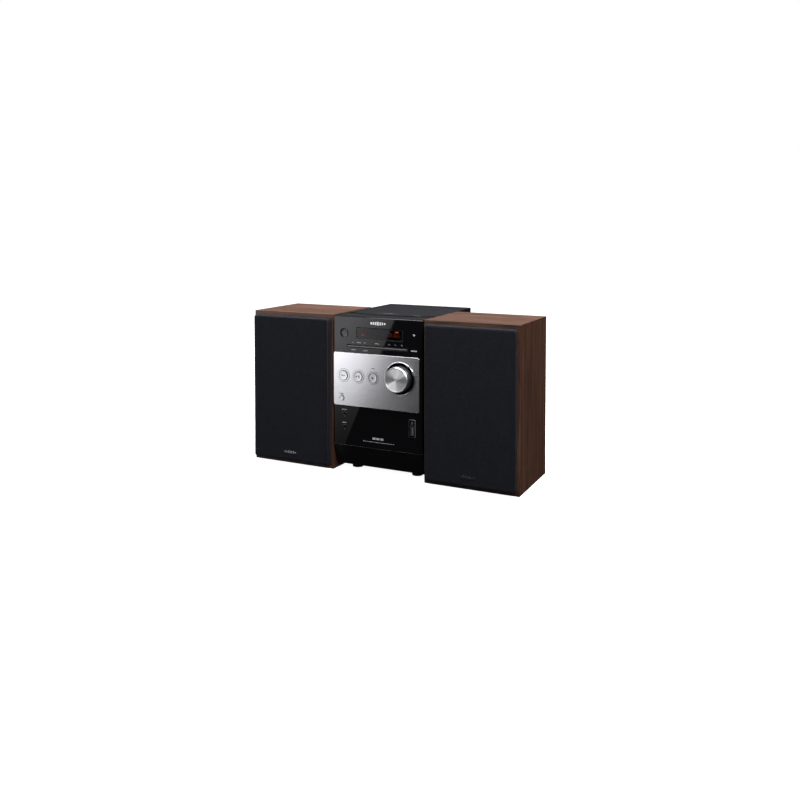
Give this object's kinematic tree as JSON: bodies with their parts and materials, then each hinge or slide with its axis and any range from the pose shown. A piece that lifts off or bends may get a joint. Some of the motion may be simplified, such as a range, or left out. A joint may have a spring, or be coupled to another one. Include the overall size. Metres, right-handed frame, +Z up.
{
  "type": "mini hifi system",
  "caption": "Compact hifi system: a top-loading disc player and amplifier with a brushed front plate and a volume knob, between two walnut bookshelf speakers with black cloth grilles.",
  "frame": {"origin": "middle of the footprint, on the shelf", "axes": "+X to the right as seen from the front, +Y towards the back, +Z up"},
  "size_m": [0.4466, 0.211, 0.24],
  "materials": {
    "gloss_black": "high gloss",
    "satin_black": "fine satin grain",
    "case_black": "textured paint",
    "brushed_silver": "brushed across",
    "spun_silver": "spun face, satin side",
    "bright_chrome": "polished",
    "smoked_window": "polished smoked acrylic",
    "display_glass": "gloss",
    "steel": "plain",
    "board_green": "solder mask",
    "core_steel": "laminated",
    "white_plastic": "plain",
    "rubber_black": "matt",
    "walnut": "satin veneer",
    "driver_black": "painted",
    "cone_paper": "pressed pulp",
    "grille_plastic": "matt",
    "grille_cloth": "fine woven cloth"
  },
  "bodies": {
    "main_unit": {"base_chassis": "satin_black", "unit_feet": "rubber_black", "side_cover_left": "case_black", "side_cover_right": "case_black", "rear_panel": "case_black", "top_deck": "satin_black", "front_panel": "gloss_black", "front_skirt": "gloss_black", "silver_plate": "brushed_silver", "display_window": "smoked_window", "display_module": "display_glass", "knob_ring": "bright_chrome", "button_rings": "bright_chrome", "front_jacks": "satin_black", "usb_port": "satin_black", "volume_encoder": "steel", "main_board": "board_green", "front_board": "board_green", "power_transformer": "core_steel", "heat_sink": "brushed_silver", "tuner_module": "steel", "cd_deck_frame": "satin_black", "laser_rails": "steel", "spindle_motor": "steel", "speaker_terminals": "satin_black", "mains_inlet": "satin_black", "aerial_socket": "satin_black", "case_screws": "steel"},
    "cd_lid": {"cd_lid": "satin_black"},
    "disc_clamp": {"disc_clamp": "satin_black"},
    "turntable": {"turntable": "satin_black"},
    "laser_sled": {"laser_sled": "satin_black"},
    "feed_gear": {"feed_gear": "white_plastic"},
    "volume_knob": {"volume_knob": "spun_silver"},
    "power_button": {"power_button": "gloss_black"},
    "function_button": {"function_button": "brushed_silver"},
    "play_pause_button": {"play_pause_button": "brushed_silver"},
    "stop_button": {"stop_button": "brushed_silver"},
    "sound_button": {"sound_button": "brushed_silver"},
    "tune_down_key": {"tune_down_key": "bright_chrome"},
    "tune_up_key": {"tune_up_key": "bright_chrome"},
    "menu_key": {"menu_key": "bright_chrome"},
    "track_back_key": {"track_back_key": "bright_chrome"},
    "track_next_key": {"track_next_key": "bright_chrome"},
    "speaker_left": {"cabinet_left": "walnut", "port_tube_left": "satin_black", "woofer_frame_left": "driver_black", "tweeter_left": "satin_black", "terminal_plate_left": "satin_black"},
    "woofer_left": {"woofer_cone_left": "cone_paper"},
    "grille_left": {"grille_frame_left": "grille_plastic", "grille_cloth_left": "grille_cloth"},
    "speaker_right": {"cabinet_right": "walnut", "port_tube_right": "satin_black", "woofer_frame_right": "driver_black", "tweeter_right": "satin_black", "terminal_plate_right": "satin_black"},
    "woofer_right": {"woofer_cone_right": "cone_paper"},
    "grille_right": {"grille_frame_right": "grille_plastic", "grille_cloth_right": "grille_cloth"}
  },
  "joints": [
    {"name": "lid_open", "type": "hinge", "parent": "main_unit", "child": "cd_lid", "pos_m": [0, 0.0825, 0.2372], "axis": [-1, 0, 0], "range_deg": [0, 72]},
    {"name": "clamp_spin", "type": "hinge", "parent": "cd_lid", "child": "disc_clamp", "pos_m": [0, 0.0115, 0.234], "axis": [0, 0, 1], "continuous": true},
    {"name": "disc_spin", "type": "hinge", "parent": "main_unit", "child": "turntable", "pos_m": [0, 0.0115, 0.228], "axis": [0, 0, 1], "continuous": true},
    {"name": "sled_slide", "type": "slide", "parent": "main_unit", "child": "laser_sled", "axis": [1, 0, 0], "range_m": [0, 0.033]},
    {"name": "feed_gear_turn", "type": "hinge", "parent": "main_unit", "child": "feed_gear", "pos_m": [0.03, -0.0145, 0.215], "axis": [0, 0, -1], "range_deg": [0, 240]},
    {"name": "volume_turn", "type": "hinge", "parent": "main_unit", "child": "volume_knob", "pos_m": [0.0384, -0.0905, 0.1507], "axis": [0, -1, 0], "continuous": true},
    {"name": "power_press", "type": "slide", "parent": "main_unit", "child": "power_button", "axis": [0, 1, 0], "range_m": [0, 0.0008], "stiffness_N_per_m": 800},
    {"name": "function_press", "type": "slide", "parent": "main_unit", "child": "function_button", "axis": [0, 1, 0], "range_m": [0, 0.0008], "stiffness_N_per_m": 800},
    {"name": "play_pause_press", "type": "slide", "parent": "main_unit", "child": "play_pause_button", "axis": [0, 1, 0], "range_m": [0, 0.0008], "stiffness_N_per_m": 800},
    {"name": "stop_press", "type": "slide", "parent": "main_unit", "child": "stop_button", "axis": [0, 1, 0], "range_m": [0, 0.0008], "stiffness_N_per_m": 800},
    {"name": "sound_press", "type": "slide", "parent": "main_unit", "child": "sound_button", "axis": [0, 1, 0], "range_m": [0, 0.0008], "stiffness_N_per_m": 800},
    {"name": "tune_down_press", "type": "slide", "parent": "main_unit", "child": "tune_down_key", "axis": [0, 1, 0], "range_m": [0, 0.0008], "stiffness_N_per_m": 800},
    {"name": "tune_up_press", "type": "slide", "parent": "main_unit", "child": "tune_up_key", "axis": [0, 1, 0], "range_m": [0, 0.0008], "stiffness_N_per_m": 800},
    {"name": "menu_press", "type": "slide", "parent": "main_unit", "child": "menu_key", "axis": [0, 1, 0], "range_m": [0, 0.0008], "stiffness_N_per_m": 800},
    {"name": "track_back_press", "type": "slide", "parent": "main_unit", "child": "track_back_key", "axis": [0, 1, 0], "range_m": [0, 0.0008], "stiffness_N_per_m": 800},
    {"name": "track_next_press", "type": "slide", "parent": "main_unit", "child": "track_next_key", "axis": [0, 1, 0], "range_m": [0, 0.0008], "stiffness_N_per_m": 800},
    {"name": "speaker_left_place", "type": "slide", "parent": "main_unit", "child": "speaker_left", "axis": [-1, 0, 0], "range_m": [0, 0.15]},
    {"name": "grille_left_pull", "type": "slide", "parent": "speaker_left", "child": "grille_left", "axis": [0, -1, 0], "range_m": [0, 0.06]},
    {"name": "woofer_left_stroke", "type": "slide", "parent": "speaker_left", "child": "woofer_left", "axis": [0, -1, 0], "range_m": [-0.003, 0.003], "stiffness_N_per_m": 1200},
    {"name": "speaker_right_place", "type": "slide", "parent": "main_unit", "child": "speaker_right", "axis": [1, 0, 0], "range_m": [0, 0.15]},
    {"name": "grille_right_pull", "type": "slide", "parent": "speaker_right", "child": "grille_right", "axis": [0, -1, 0], "range_m": [0, 0.06]},
    {"name": "woofer_right_stroke", "type": "slide", "parent": "speaker_right", "child": "woofer_right", "axis": [0, -1, 0], "range_m": [-0.003, 0.003], "stiffness_N_per_m": 1200}
  ],
  "couplings": [
    {"joint": "feed_gear_turn", "follows": "sled_slide", "rad_per_m": 125}
  ]
}
